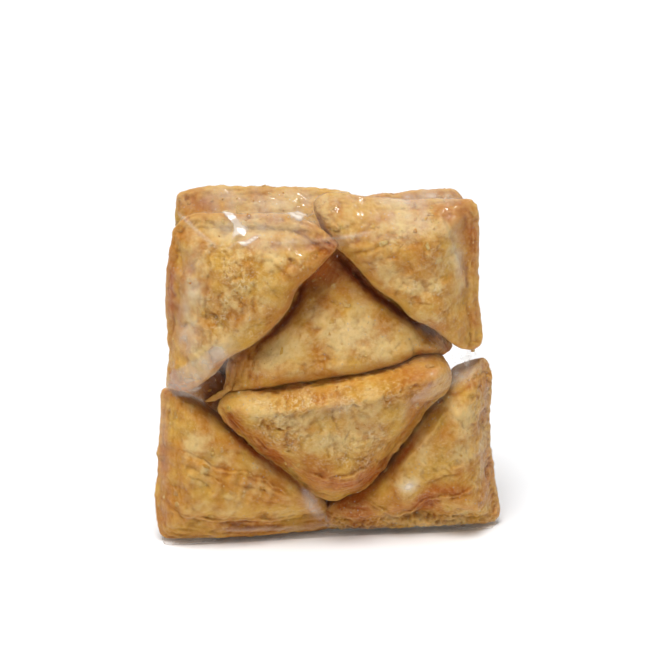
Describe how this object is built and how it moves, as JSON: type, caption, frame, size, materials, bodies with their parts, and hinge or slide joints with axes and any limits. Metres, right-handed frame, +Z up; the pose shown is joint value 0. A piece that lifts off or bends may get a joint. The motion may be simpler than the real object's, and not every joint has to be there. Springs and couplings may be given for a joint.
{
  "type": "bag of curry puffs",
  "caption": "Clear sealed bag pulled tight over triangular puff-pastry curry puffs in two flat layers, standing upright on its flat folded base.",
  "frame": {"origin": "middle of the flat base that the bag stands on", "axes": "+Z up, +X along the width of the bag, and the shown side faces -Y"},
  "size_m": [0.1668, 0.0779, 0.1703],
  "materials": {
    "pastry_in_film": null,
    "pastry": "golden, flaky, slightly oily baked puff pastry",
    "film": "thin clear glossy plastic film with fine creases and a faint haze"
  },
  "bodies": {
    "root": {"bag": "pastry_in_film"}
  },
  "joints": []
}
